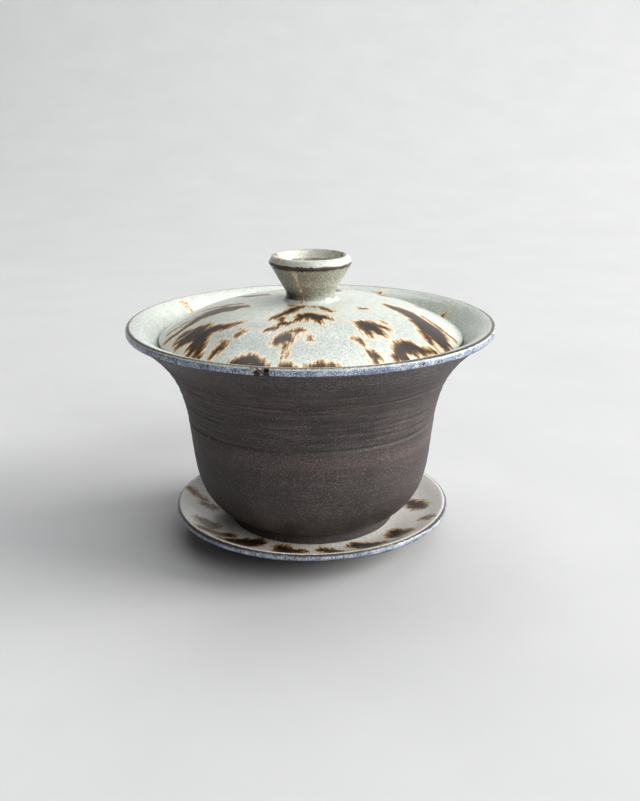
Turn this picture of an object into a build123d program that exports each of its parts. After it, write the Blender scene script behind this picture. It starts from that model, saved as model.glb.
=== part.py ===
from build123d import *
from math import radians, sin
import os

# Gaiwan: a thrown stoneware tea bowl with a flared lip, standing in a shallow saucer and
# covered by a domed lid with a hollow ring knob. Three loose pieces, each of fired clay
# under a coat of glaze. Z = 0 is the surface that the saucer stands on, and every piece is
# turned about Z. Outlines are (radius, height) in millimetres, and each piece's heights
# are counted from its own foot or resting edge.

os.makedirs("parts", exist_ok=True)

# Driving dimensions
GLAZE = 0.35              # thickness of the glaze coat
FOOT_GAP = 0.05           # bowl's foot above the saucer's glaze

SAUCER_RIM_R = 38.45      # clay, without the glaze
SAUCER_RIM_TOP = 9.65
SAUCER_RIM_UNDER = 8.30   # glaze line on the saucer's edge
SAUCER_FLOOR = 5.15       # clay floor of the well
SAUCER_FLAT_R = 24.0      # flat of the well, which the bowl's foot stands on
SAUCER_FOOT_R = 22.0      # foot ring, at its root
SAUCER_FOOT_WIDTH = 3.4
SAUCER_FOOT_H = 2.3       # height of the ring's root on the outside
SAUCER_RECESS_H = 2.0     # depth of the recess inside the ring
SAUCER_FOOT_TAPER = (0.2, 0.3)      # outer and inner draft of the ring

BOWL_LIP_R = 49.65        # clay, without the glaze
BOWL_LIP_TOP = 56.30
BOWL_LIP_UNDER = 54.50    # glaze line on the outside of the lip
BOWL_FLOOR = 7.20         # clay floor inside the bowl
BOWL_CORNER_R = 18.3      # where the flat floor starts to curve up into the wall
BOWL_FOOT_R = 23.3        # foot ring, where it stands
BOWL_FOOT_WIDTH = 3.6
BOWL_RECESS_H = 2.2       # depth of the recess inside the ring
BOWL_FOOT_TAPER = (0.4, 0.5)        # outer and inner draft of the ring
BOWL_FOOT_ROOT_H = 2.7
BOWL_BELLY_END = (23.9, 3.0)        # where the belly turns under into the foot ring

LID_SEAT_Z = 57.25        # height of the lid's resting edge above the table
LID_EDGE_R = 40.5         # centre of the rounded edge
LID_NOSE = 0.5            # radius of the rounded edge
LID_REST_R = 39.0         # inner radius of the narrow bare ring underneath
LID_HOLLOW_H = 7.1        # depth of the hollow underside
KNOB_SEAT_R = 8.1         # flat on the dome that the knob is luted to
KNOB_SEAT_H = 10.1

KNOB_H = 12.15            # from its seat on the dome to the crest
KNOB_CREST_R = 9.75       # middle of the rounded crest
KNOB_EDGE_R = 10.85       # sharp outer edge, just below the crest
KNOB_EDGE_H = 10.55
KNOB_NECK_R = 6.3         # narrowest part
KNOB_RECESS_FLOOR = 5.0   # height of the hollow's floor

# Points that the free curves pass through
SAUCER_SLOPE = ((33.5, 7.5), (28.5, 5.75))
SAUCER_UNDERSIDE = ((31.0, 5.0),)
BOWL_INNER_WALL = ((46.6, 55.55), (42.7, 52.4), (36.2, 44.6), (32.2, 33.0), (30.9, 25.6))
BOWL_OUTER_WALL = (
    (44.5, 50.7), (38.6, 43.6), (34.8, 32.6), (33.2, 20.0), (30.9, 10.4), (28.2, 6.2)
)
LID_DOME = ((36.0, 3.85), (30.0, 6.55), (20.0, 9.0))
LID_HOLLOW = ((14.0, 6.7), (26.0, 5.0), (34.0, 2.1))
KNOB_RECESS = ((8.2, 8.5), (5.2, 5.7))

RIM_ROUND = 0.7           # rounding radii, on the clay
LIP_ROUND = 0.6
FLOOR_ROUND = 11.0
CREST_ROUND = 0.55
EDGE_ROUND = 0.2
NECK_ROUND = 2.2
NECK_START = 255          # angle on the neck's arc where it meets the dome
FOOT_ROUND = 0.5
SPLINE_STEPS = 16         # spans between the points that redraw a free curve on the coat
JOIN = 1e-4               # ends closer than this are one point

BOWL_Z = SAUCER_FLOOR + GLAZE + FOOT_GAP
KNOB_Z = LID_SEAT_Z + KNOB_SEAT_H


def section(height):
    """Upright plane through the axis, with its origin on the axis at the given height."""
    return Plane(origin=(0, 0, height), x_dir=(1, 0, 0), z_dir=(0, -1, 0))


def free_curve(*points, tangents):
    """Smooth curve through points, leaving and arriving along the two tangents."""
    return Spline(*points, tangents=tangents, tangent_scalars=(1, 1))


def chained(skin):
    """Edges of an open line, each one starting where the one before it ends."""
    waiting = list(skin.edges())
    ends = [edge @ 1 for edge in waiting]
    chain = [edge for edge in waiting if all((edge @ 0 - end).length > JOIN for end in ends)]
    waiting.remove(chain[0])
    while waiting:
        following = min(waiting, key=lambda edge: (edge @ 0 - chain[-1] @ 1).length)
        chain.append(following)
        waiting.remove(following)
    return chain


def draw_coat(skin, thickness):
    """Closed outline of a coat of glaze on the right of a clay surface line."""
    previous_end = None
    for edge in chained(skin):
        steps = {GeomType.LINE: 1, GeomType.CIRCLE: 2}.get(edge.geom_type, SPLINE_STEPS)
        points = []
        for step in range(steps + 1):
            along = edge.tangent_at(step / steps)
            outward = Vector(along.Y, -along.X) * thickness
            points.append(edge.position_at(step / steps) + outward)
        if previous_end is None:
            Line(edge @ 0, points[0])
        else:
            points[0] = previous_end
        if steps == 1:
            Line(*points)
        elif steps == 2:
            ThreePointArc(*points)
        else:
            free_curve(*points, tangents=(edge % 0, edge % 1))
        previous_end = points[-1]
        add(edge)
        last_edge = edge
    Line(previous_end, last_edge @ 1)


# Clay surfaces that carry glaze, each drawn in the direction that has the glaze on its right

# Saucer: well floor, slope and rolled rim, from the glaze line on its edge in to the axis
with BuildLine() as saucer_skin:
    Line((SAUCER_RIM_R, SAUCER_RIM_UNDER), (SAUCER_RIM_R, SAUCER_RIM_TOP - RIM_ROUND))
    rim_arc = CenterArc(
        (SAUCER_RIM_R - RIM_ROUND, SAUCER_RIM_TOP - RIM_ROUND), RIM_ROUND, 0, 115
    )
    free_curve(
        rim_arc @ 1, *SAUCER_SLOPE, (SAUCER_FLAT_R, SAUCER_FLOOR),
        tangents=(rim_arc % 1, (-1, 0)),
    )
    Line((SAUCER_FLAT_R, SAUCER_FLOOR), (0, SAUCER_FLOOR))

# Bowl: lip, flare, wall and floor, from the glaze line on the lip in to the axis
with BuildLine() as bowl_skin:
    Line((BOWL_LIP_R, BOWL_LIP_UNDER), (BOWL_LIP_R, BOWL_LIP_TOP - LIP_ROUND))
    lip_arc = CenterArc(
        (BOWL_LIP_R - LIP_ROUND, BOWL_LIP_TOP - LIP_ROUND), LIP_ROUND, 0, 100
    )
    corner_arc = CenterArc(
        (BOWL_CORNER_R, BOWL_FLOOR + FLOOR_ROUND), FLOOR_ROUND, -5, -85
    )
    free_curve(
        lip_arc @ 1, *BOWL_INNER_WALL, corner_arc @ 0,
        tangents=(lip_arc % 1, corner_arc % 0),
    )
    Line((BOWL_CORNER_R, BOWL_FLOOR), (0, BOWL_FLOOR))

# Lid: round the resting edge and over the dome to the knob's seat
with BuildLine() as lid_skin:
    nose_arc = CenterArc((LID_EDGE_R, LID_NOSE), LID_NOSE, -90, 135)
    free_curve(
        nose_arc @ 1, *LID_DOME, (KNOB_SEAT_R, KNOB_SEAT_H),
        tangents=(nose_arc % 1, (-1, 0.03)),
    )

# Lid: hollow underside, from the axis out to the bare resting ring
with BuildLine() as lid_under_skin:
    free_curve(
        (0, LID_HOLLOW_H), *LID_HOLLOW, (LID_REST_R, 0),
        tangents=((1, 0), (1, -0.15)),
    )

# Knob: neck, flared side, sharp edge, outer face, crest and recess, from the base to the axis
with BuildLine() as knob_skin:
    neck_centre = (KNOB_NECK_R + NECK_ROUND, -NECK_ROUND * sin(radians(NECK_START)))
    neck_arc = CenterArc(neck_centre, NECK_ROUND, NECK_START, -105)
    edge_arc = CenterArc((KNOB_EDGE_R - EDGE_ROUND, KNOB_EDGE_H), EDGE_ROUND, -30, 60)
    crest_arc = CenterArc((KNOB_CREST_R, KNOB_H - CREST_ROUND), CREST_ROUND, 30, 135)
    Line(neck_arc @ 1, edge_arc @ 0)
    Line(edge_arc @ 1, crest_arc @ 0)
    free_curve(
        crest_arc @ 1, *KNOB_RECESS, (0, KNOB_RECESS_FLOOR),
        tangents=(crest_arc % 1, (-1, 0)),
    )


# Saucer

with BuildPart() as saucer_body:
    with BuildSketch(section(0)) as saucer_section:
        with BuildLine():
            add(saucer_skin.edges())
            free_curve(
                (SAUCER_RIM_R, SAUCER_RIM_UNDER), *SAUCER_UNDERSIDE,
                (SAUCER_FOOT_R, SAUCER_FOOT_H),
                tangents=((-1, -0.3), (-1, -0.1)),
            )
            Polyline(
                (SAUCER_FOOT_R, SAUCER_FOOT_H),
                (SAUCER_FOOT_R - SAUCER_FOOT_TAPER[0], 0),
                (SAUCER_FOOT_R - SAUCER_FOOT_WIDTH + SAUCER_FOOT_TAPER[1], 0),
                (SAUCER_FOOT_R - SAUCER_FOOT_WIDTH, SAUCER_RECESS_H),
                (0, SAUCER_RECESS_H),
                (0, SAUCER_FLOOR),
            )
        make_face()
        foot_corners = saucer_section.vertices().group_by(Axis.Y)[0]
        fillet(foot_corners, FOOT_ROUND)
    revolve(axis=Axis.Z)

with BuildPart() as saucer_glaze:
    with BuildSketch(section(0)):
        with BuildLine():
            draw_coat(saucer_skin, GLAZE)
        make_face()
    revolve(axis=Axis.Z)

# Bowl

with BuildPart() as bowl_body:
    with BuildSketch(section(BOWL_Z)) as bowl_section:
        with BuildLine():
            add(bowl_skin.edges())
            free_curve(
                (BOWL_LIP_R, BOWL_LIP_UNDER), *BOWL_OUTER_WALL, BOWL_BELLY_END,
                tangents=((-0.95, -0.45), (-1, -0.42)),
            )
            Polyline(
                BOWL_BELLY_END,
                (BOWL_FOOT_R - BOWL_FOOT_TAPER[0], BOWL_FOOT_ROOT_H),
                (BOWL_FOOT_R, 0),
                (BOWL_FOOT_R - BOWL_FOOT_WIDTH, 0),
                (BOWL_FOOT_R - BOWL_FOOT_WIDTH - BOWL_FOOT_TAPER[1], BOWL_RECESS_H),
                (0, BOWL_RECESS_H),
                (0, BOWL_FLOOR),
            )
        make_face()
        foot_corners = bowl_section.vertices().group_by(Axis.Y)[0]
        fillet(foot_corners, FOOT_ROUND)
    revolve(axis=Axis.Z)

with BuildPart() as bowl_glaze:
    with BuildSketch(section(BOWL_Z)):
        with BuildLine():
            draw_coat(bowl_skin, GLAZE)
        make_face()
    revolve(axis=Axis.Z)

# Lid

with BuildPart() as lid_body:
    with BuildSketch(section(LID_SEAT_Z)):
        with BuildLine():
            add(lid_skin.edges())
            Line((LID_EDGE_R, 0), (LID_REST_R, 0))
            add(lid_under_skin.edges())
            Polyline((0, LID_HOLLOW_H), (0, KNOB_SEAT_H), (KNOB_SEAT_R, KNOB_SEAT_H))
        make_face()
    revolve(axis=Axis.Z)

with BuildPart() as lid_glaze:
    with BuildSketch(section(LID_SEAT_Z)):
        with BuildLine():
            draw_coat(lid_skin, GLAZE)
        make_face()
    revolve(axis=Axis.Z)

with BuildPart() as lid_liner_glaze:
    with BuildSketch(section(LID_SEAT_Z)):
        with BuildLine():
            draw_coat(lid_under_skin, GLAZE)
        make_face()
    revolve(axis=Axis.Z)

# Knob

with BuildPart() as lid_knob:
    with BuildSketch(section(KNOB_Z)):
        with BuildLine():
            add(knob_skin.edges())
            Polyline(neck_arc @ 0, (0, 0), (0, KNOB_RECESS_FLOOR))
        make_face()
    revolve(axis=Axis.Z)

with BuildPart() as knob_glaze:
    with BuildSketch(section(KNOB_Z)):
        with BuildLine():
            draw_coat(knob_skin, GLAZE)
        make_face()
    revolve(axis=Axis.Z)

saucer_body.part.label = "saucer_body"
saucer_glaze.part.label = "saucer_glaze"
bowl_body.part.label = "bowl_body"
bowl_glaze.part.label = "bowl_glaze"
lid_body.part.label = "lid_body"
lid_glaze.part.label = "lid_glaze"
lid_liner_glaze.part.label = "lid_liner_glaze"
lid_knob.part.label = "lid_knob"
knob_glaze.part.label = "knob_glaze"

export_step(saucer_body.part, "parts/saucer_body.step")
export_step(saucer_glaze.part, "parts/saucer_glaze.step")
export_step(bowl_body.part, "parts/bowl_body.step")
export_step(bowl_glaze.part, "parts/bowl_glaze.step")
export_step(lid_body.part, "parts/lid_body.step")
export_step(lid_glaze.part, "parts/lid_glaze.step")
export_step(lid_liner_glaze.part, "parts/lid_liner_glaze.step")
export_step(lid_knob.part, "parts/lid_knob.step")
export_step(knob_glaze.part, "parts/knob_glaze.step")
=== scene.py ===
"""Looks of the gaiwan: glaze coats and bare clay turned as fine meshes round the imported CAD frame."""

import math

import bpy
import numpy as np
from mathutils import Matrix, Vector


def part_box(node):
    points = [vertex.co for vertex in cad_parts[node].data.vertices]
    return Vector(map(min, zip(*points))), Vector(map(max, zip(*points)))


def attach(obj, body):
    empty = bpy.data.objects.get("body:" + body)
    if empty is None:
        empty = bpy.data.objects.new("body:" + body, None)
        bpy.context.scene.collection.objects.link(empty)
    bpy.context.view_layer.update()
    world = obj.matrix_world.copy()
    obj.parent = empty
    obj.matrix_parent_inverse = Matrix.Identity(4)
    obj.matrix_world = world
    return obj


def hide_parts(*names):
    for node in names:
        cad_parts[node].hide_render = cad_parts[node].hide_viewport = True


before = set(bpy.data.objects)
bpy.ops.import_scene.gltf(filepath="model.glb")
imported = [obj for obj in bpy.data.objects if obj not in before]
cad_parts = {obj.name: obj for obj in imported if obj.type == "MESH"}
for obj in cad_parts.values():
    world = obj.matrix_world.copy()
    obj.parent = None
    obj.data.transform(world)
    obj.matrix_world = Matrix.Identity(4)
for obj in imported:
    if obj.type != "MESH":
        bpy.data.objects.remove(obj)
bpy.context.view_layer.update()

MM = 0.001
TURN = 2 * math.pi

# ---------------------------------------------------------------- sizes, in millimetres

GLAZE = 0.35              # thickness of every glaze coat
SINK = 0.12               # how far a coat's hidden face lies inside the clay
BEAD = 0.5                # length over which a coat rounds off at its glaze line

BOWL_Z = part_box("bowl_body")[0].z / MM          # heights of the pieces' own zero levels
LID_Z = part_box("lid_body")[0].z / MM
KNOB_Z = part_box("lid_knob")[0].z / MM
SAUCER_RIM_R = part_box("saucer_body")[1].x / MM
BOWL_LIP_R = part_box("bowl_body")[1].x / MM

SAUCER_RIM_TOP, SAUCER_RIM_UNDER, SAUCER_FLOOR = 9.65, 8.30, 5.15
BOWL_LIP_TOP, BOWL_LIP_UNDER, BOWL_FLOOR = 56.30, 54.50, 7.20
RIM_ROUND, LIP_ROUND, FOOT_ROUND, FLOOR_ROUND = 0.7, 0.6, 0.5, 11.0

WELL_EDGE = (24.0, SAUCER_FLOOR)                # flat of the saucer's well
BOWL_CORNER = (18.3, BOWL_FLOOR + FLOOR_ROUND)  # centre of the floor's curved corner
SAUCER_RECESS, BOWL_RECESS = 2.0, 2.2           # height of the hollow inside each foot ring
LID_TOP, LID_HOLLOW_TOP = 10.1, 7.1             # above the lid's resting edge

# Spacing of the points along an outline, finest on the tight curves
TIGHT, FINE, CLOSE, MIDDLE, SMOOTH, COARSE = 0.08, 0.16, 0.27, 0.32, 0.5, 2.0
UNDER_GLAZE, UNDER_SAUCER_GLAZE = 1.5, 0.8      # spacing on clay that a coat hides
SAME_POINT = 0.004        # points closer than this are one point
ON_AXIS = 1e-6            # a radius below this is on the axis

SHARP_ANGLE = math.radians(50)        # edges sharper than this aren't shaded smooth
# Faces of each piece round the axis
SEGMENTS = {
    "saucer_clay": 360, "saucer_coat": 480, "bowl_clay": 360, "bowl_coat": 420,
    "lid_clay": 300, "lid_coat": 560, "knob_coat": 320, "lid_lining": 300,
}


# ---------------------------------------------------------------- outlines, (radius, height)

def line(a, b, step):
    """Points from a to b, about one step apart."""
    count = max(1, round(math.dist(a, b) / step))
    return np.linspace(a, b, count + 1)


def arc(centre, radius, start, end, step):
    """Points along an arc between two angles in degrees."""
    count = max(3, round(radius * math.radians(abs(end - start)) / step))
    angles = np.radians(np.linspace(start, end, count + 1))
    return np.column_stack([centre[0] + radius * np.cos(angles), centre[1] + radius * np.sin(angles)])


def curve(points, leave, arrive, step):
    """Points along the smooth cubic curve through the given points, with its two end directions."""
    points = np.array(points, float)
    gaps = np.linalg.norm(np.diff(points, axis=0), axis=1)
    ends = [np.array(v, float) / np.linalg.norm(v) for v in (leave, arrive)]
    count = len(points)
    matrix = np.eye(count)
    wanted = np.zeros((count, 2))
    wanted[0], wanted[-1] = ends
    for i in range(1, count - 1):
        before, after = gaps[i - 1], gaps[i]
        matrix[i, i - 1:i + 2] = after, 2 * (before + after), before
        wanted[i] = 3 * (after * (points[i] - points[i - 1]) / before
                         + before * (points[i + 1] - points[i]) / after)
    slopes = np.linalg.solve(matrix, wanted)
    result = []
    for i, gap in enumerate(gaps):
        t = np.linspace(0, 1, max(2, round(gap / step)) + 1)[:, None]
        result.append(points[i] * (2 * t**3 - 3 * t**2 + 1) + points[i + 1] * (3 * t**2 - 2 * t**3)
                      + gap * (slopes[i] * (t**3 - 2 * t**2 + t) + slopes[i + 1] * (t**3 - t**2)))
    return joined(*result)


def joined(*runs):
    """One run of points, without the doubled ones where two runs meet."""
    points = np.concatenate([np.array(run, float) for run in runs])
    keep = np.concatenate([[True], np.linalg.norm(np.diff(points, axis=0), axis=1) > SAME_POINT])
    return points[keep]


def lifted(points, height):
    """The same run of points, higher up."""
    return points + np.array([0, height])


def right_side(points):
    """Unit vectors pointing to the right of the run at each of its points."""
    along = np.gradient(points, axis=0)
    along /= np.linalg.norm(along, axis=1)[:, None]
    return np.column_stack([along[:, 1], -along[:, 0]])


def travelled(points):
    """Distance along the run to each of its points."""
    return np.concatenate([[0], np.cumsum(np.linalg.norm(np.diff(points, axis=0), axis=1))])


def thinned(points, step):
    """The same run with its points about one step apart."""
    along = travelled(points)
    places = np.linspace(0, along[-1], max(3, round(along[-1] / step)) + 1)
    return np.column_stack([np.interp(places, along, points[:, k]) for k in (0, 1)])


def coated(skin, first_bead=True, last_bead=False):
    """Outer face of a glaze coat on the right of a clay surface, rounded off where it ends."""
    along = travelled(skin)
    depth = np.full(len(skin), GLAZE)
    if first_bead:
        near = np.clip(along / BEAD, 0, 1)
        depth *= np.sqrt(1 - (1 - near) ** 2)
    if last_bead:
        near = np.clip((along[-1] - along) / BEAD, 0, 1)
        depth *= np.sqrt(1 - (1 - near) ** 2)
    return skin + right_side(skin) * depth[:, None]


def shell(outer, skin):
    """Closed outline of a coat: its outer face, then back along a hidden face inside the clay."""
    hidden = thinned(skin - right_side(skin) * SINK, COARSE)
    return joined(outer, hidden[::-1])


# Saucer
saucer_arc = arc((SAUCER_RIM_R - RIM_ROUND, SAUCER_RIM_TOP - RIM_ROUND), RIM_ROUND, 0, 115, FINE)
saucer_skin = joined(
    line((SAUCER_RIM_R, SAUCER_RIM_UNDER), saucer_arc[0], FINE),
    saucer_arc,
    curve([saucer_arc[-1], (33.5, 7.5), (28.5, 5.75), WELL_EDGE], (-0.906, -0.423), (-1, 0), MIDDLE),
    line(WELL_EDGE, (0, SAUCER_FLOOR), SMOOTH),
)
saucer_under = joined(
    line((0, SAUCER_RECESS), (18.6, SAUCER_RECESS), COARSE),
    line((18.6, SAUCER_RECESS), (18.87, FOOT_ROUND), FINE),
    arc((19.37, FOOT_ROUND), FOOT_ROUND, 180, 270, FINE),
    line((19.37, 0), (21.3, 0), FINE),
    arc((21.3, FOOT_ROUND), FOOT_ROUND, 270, 360, FINE),
    line((21.8, FOOT_ROUND), (22.0, 2.3), FINE),
    curve([(22.0, 2.3), (31.0, 5.0), (SAUCER_RIM_R, SAUCER_RIM_UNDER)], (1, 0.1), (1, 0.3), MIDDLE),
)

# Bowl
lip_arc = arc((BOWL_LIP_R - LIP_ROUND, BOWL_LIP_TOP - LIP_ROUND), LIP_ROUND, 0, 100, FINE)
corner_arc = arc(BOWL_CORNER, FLOOR_ROUND, -5, -90, MIDDLE)
bowl_inner_wall = [lip_arc[-1], (46.6, 55.55), (42.7, 52.4), (36.2, 44.6), (32.2, 33.0), (30.9, 25.6),
                   corner_arc[0]]
bowl_skin = lifted(joined(
    line((BOWL_LIP_R, BOWL_LIP_UNDER), lip_arc[0], FINE),
    lip_arc,
    curve(bowl_inner_wall, (-0.985, -0.174), (-0.087, -0.996), SMOOTH),
    corner_arc,
    line(corner_arc[-1], (0, BOWL_FLOOR), SMOOTH),
), BOWL_Z)
bowl_outer_wall = [(23.9, 3.0), (28.2, 6.2), (30.9, 10.4), (33.2, 20.0), (34.8, 32.6), (38.6, 43.6),
                   (44.5, 50.7), (BOWL_LIP_R, BOWL_LIP_UNDER)]
bowl_under = lifted(joined(
    line((0, BOWL_RECESS), (19.2, BOWL_RECESS), COARSE),
    line((19.2, BOWL_RECESS), (19.6, FOOT_ROUND), FINE),
    arc((20.1, FOOT_ROUND), FOOT_ROUND, 180, 270, FINE),
    line((20.1, 0), (22.75, 0), FINE),
    arc((22.75, FOOT_ROUND), FOOT_ROUND, 270, 360, FINE),
    line((23.2, 0.6), (22.9, 2.7), FINE),
    line((22.9, 2.7), (23.9, 3.0), FINE),
    curve(bowl_outer_wall, (1, 0.42), (0.95, 0.45), CLOSE),
), BOWL_Z)

# Lid and knob: one coat of glaze runs from the resting edge over the dome and knob
nose_arc = arc((40.5, 0.5), 0.5, -90, 45, FINE)
dome = curve([nose_arc[-1], (36.0, 3.85), (30.0, 6.55), (20.0, 9.0), (8.1, LID_TOP)],
             (-0.707, 0.707), (-1, 0.03), MIDDLE)
lid_skin = lifted(joined(nose_arc, dome), LID_Z)
neck_arc = arc((8.5, 2.125), 2.2, 255, 150, FINE)
edge_arc = arc((10.65, 10.55), 0.2, -30, 30, TIGHT)
crest_arc = arc((9.75, 11.6), 0.55, 30, 165, FINE)
knob_side = lifted(joined(
    neck_arc,
    line(neck_arc[-1], edge_arc[0], FINE),
    edge_arc,
    line(edge_arc[-1], crest_arc[0], FINE),
    crest_arc,
    curve([crest_arc[-1], (8.2, 8.5), (5.2, 5.7), (0, 5.0)], (-0.259, -0.966), (-1, 0), CLOSE),
), KNOB_Z)
lid_hollow = [(0, LID_HOLLOW_TOP), (14.0, 6.7), (26.0, 5.0), (34.0, 2.1), (39.0, 0)]
lid_under = lifted(curve(lid_hollow, (1, 0), (1, -0.15), SMOOTH), LID_Z)


# ---------------------------------------------------------------- turning a mesh

def wander(angle, waves, seed):
    """Smooth closed wave round the axis, from -1 to 1, made of a few harmonics."""
    random = np.random.default_rng(seed)
    total = np.zeros_like(angle)
    for count in waves:
        strength = random.uniform(0.5, 1)
        total = total + strength * np.cos(count * angle + random.uniform(0, TURN))
    return total / max(1.0, 0.75 * len(waves))


def turned(name, outline, displace=None):
    """Mesh object of an outline turned round Z; displace(radius, height, angle) moves its points."""
    area = np.sum(outline[:, 0] * np.roll(outline[:, 1], -1) - np.roll(outline[:, 0], -1) * outline[:, 1])
    if area < 0:
        outline = outline[::-1]
    first_pole, last_pole = outline[0, 0] < ON_AXIS, outline[-1, 0] < ON_AXIS
    segments = SEGMENTS[name]
    rings = outline[int(first_pole):len(outline) - int(last_pole)]
    angle = np.linspace(0, TURN, segments, endpoint=False)[None, :]
    radius = np.repeat(rings[:, :1], segments, axis=1)
    height = np.repeat(rings[:, 1:], segments, axis=1)
    angle = np.repeat(angle, len(rings), axis=0)
    if displace:
        radius, height = displace(radius, height, angle)
    points = np.stack([radius * np.cos(angle), radius * np.sin(angle), height], axis=-1).reshape(-1, 3)
    index = np.arange(len(rings) * segments).reshape(len(rings), segments)
    following = np.roll(index, -1, axis=1)
    if first_pole or last_pole:
        low, high, low_next, high_next = index[:-1], index[1:], following[:-1], following[1:]
    else:
        low, low_next = index, following
        high, high_next = np.roll(index, -1, axis=0), np.roll(following, -1, axis=0)
    faces = np.stack([low, low_next, high_next, high], axis=-1).reshape(-1, 4).tolist()
    extra = []
    if first_pole:
        pole = len(points) + len(extra)
        extra.append((0, 0, outline[0, 1]))
        faces += [(pole, b, a) for a, b in zip(index[0].tolist(), following[0].tolist())]
    if last_pole:
        pole = len(points) + len(extra)
        extra.append((0, 0, outline[-1, 1]))
        faces += [(pole, a, b) for a, b in zip(index[-1].tolist(), following[-1].tolist())]
    if extra:
        points = np.concatenate([points, extra])
    mesh = bpy.data.meshes.new(name)
    mesh.from_pydata((points * MM).tolist(), [], faces)
    mesh.polygons.foreach_set("use_smooth", [True] * len(mesh.polygons))
    mesh.set_sharp_from_angle(angle=SHARP_ANGLE)
    piece = bpy.data.objects.new(name, mesh)
    bpy.context.scene.collection.objects.link(piece)
    return piece


def places(piece):
    """Radius, height and angle of every vertex of a piece, in millimetres and radians."""
    points = np.empty(len(piece.data.vertices) * 3)
    piece.data.vertices.foreach_get("co", points)
    points = points.reshape(-1, 3) / MM
    return np.hypot(points[:, 0], points[:, 1]), points[:, 2], np.arctan2(points[:, 1], points[:, 0])


def mark(piece, name, values):
    """Keeps one number a vertex, for the materials to read."""
    layer = piece.data.attributes.new(name, "FLOAT", "POINT")
    layer.data.foreach_set("value", np.asarray(values, np.float32))


# ---------------------------------------------------------------- iron strokes in the glaze

NO_IRON = -4.0            # depth value of glaze far from any stroke
SPREAD = 1.32             # how many times wider than drawn every stroke has bled
SOFT_EDGE = 0.65          # how slowly iron fades outside a stroke
RUN_STEPS, RUN_FADE = 7, 1.1          # copies laid along a drip, and how much thinner its tip is
FINGERS, FINGER_CURVE = 250, 2.2      # drips round the axis, and how rare the long ones are
FINGER_SWAY, FINGER_BENDS = 0.4, 0.9  # how far a drip wanders sideways, and how often


def stroke_depth(x, y, strokes):
    """How far each point lies inside the nearest stroke, in millimetres; negative outside."""
    depth = np.full(x.shape, NO_IRON)
    for points in strokes:
        for (ax, ay, aw), (bx, by, bw) in zip(points, points[1:]):
            dx, dy = bx - ax, by - ay
            t = np.clip(((x - ax) * dx + (y - ay) * dy) / (dx * dx + dy * dy), 0, 1)
            width = SPREAD * (aw + t * (bw - aw))
            depth = np.maximum(depth, width - np.hypot(x - ax - t * dx, y - ay - t * dy))
    return np.where(depth < 0, SOFT_EDGE * depth, depth)


def plan(strokes):
    """Strokes given by radius and angle laid out as (x, y, half width)."""
    return [[(r * math.cos(math.radians(a)), r * math.sin(math.radians(a)), w) for r, a, w in points]
            for points in strokes]


def drip_lengths(angle, radius, longest, seed):
    """How far the glaze has run below each point: thin fingers of uneven length."""
    random = np.random.default_rng(seed)
    fingers = random.random(FINGERS)
    place = (angle / TURN * FINGERS + FINGER_SWAY * np.sin(radius * FINGER_BENDS)) % FINGERS
    low = np.floor(place).astype(int)
    t = place - low
    t = t * t * (3 - 2 * t)
    mixed = fingers[low % FINGERS] * (1 - t) + fingers[(low + 1) % FINGERS] * t
    return longest * mixed ** FINGER_CURVE


def iron_on_plan(radius, angle, strokes, longest, seed, outward=1):
    """Iron in the glaze at each point seen from above, run outwards (or inwards) in fine drips."""
    run = drip_lengths(angle, radius, longest, seed)
    depth = np.full(radius.shape, NO_IRON)
    laid = plan(strokes)
    for share in np.linspace(0, 1, RUN_STEPS):
        moved = radius - outward * share * run
        sample = stroke_depth(moved * np.cos(angle), moved * np.sin(angle), laid)
        depth = np.maximum(depth, sample - RUN_FADE * share)
    return depth


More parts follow.
